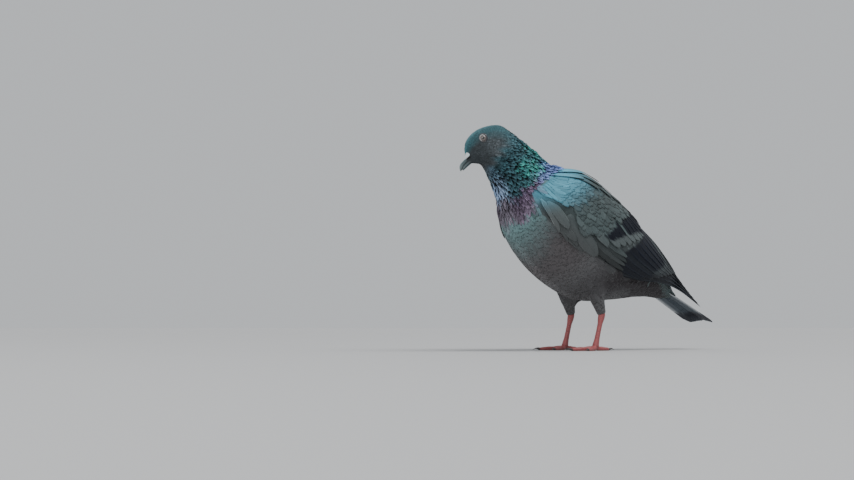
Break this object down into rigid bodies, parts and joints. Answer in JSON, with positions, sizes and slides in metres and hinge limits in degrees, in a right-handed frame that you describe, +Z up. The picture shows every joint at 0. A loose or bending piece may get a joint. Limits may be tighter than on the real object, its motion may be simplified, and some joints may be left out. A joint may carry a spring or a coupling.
{
  "type": "pigeon",
  "caption": "Standing rock pigeon at life size, head turned a little to its right and bill lowered, wings folded: a still museum-type model that stands on its own feet.",
  "frame": {"origin": "on the floor, under the centre of the bounding box", "axes": "+X ahead of the bird, +Y to its left, +Z up"},
  "size_m": [0.2669, 0.0992, 0.1924],
  "materials": {
    "head_plumage": "soft feather, grey-blue",
    "neck_plumage": "glossy feather, green and violet",
    "body_plumage": "soft feather, grey",
    "wing_plumage": "close feather, pale blue-grey with two black bars",
    "flight_plumage": "smooth feather, dark grey",
    "horn": "satin",
    "cere_skin": "chalky white",
    "eye": "wet gloss",
    "leg_skin": "scaly satin"
  },
  "bodies": {
    "root": {"head": "head_plumage", "neck": "neck_plumage", "trunk": "body_plumage", "thigh_left": "body_plumage", "thigh_right": "body_plumage", "wing_left": "wing_plumage", "wing_right": "wing_plumage", "primaries_left": "flight_plumage", "primaries_right": "flight_plumage", "tail": "flight_plumage", "bill_upper": "horn", "bill_lower": "horn", "cere": "cere_skin", "eye_left": "eye", "eye_right": "eye", "foot_left": "leg_skin", "foot_right": "leg_skin", "claw_left_inner": "horn", "claw_left_middle": "horn", "claw_left_outer": "horn", "claw_left_hind": "horn", "claw_right_inner": "horn", "claw_right_middle": "horn", "claw_right_outer": "horn", "claw_right_hind": "horn"}
  },
  "joints": []
}
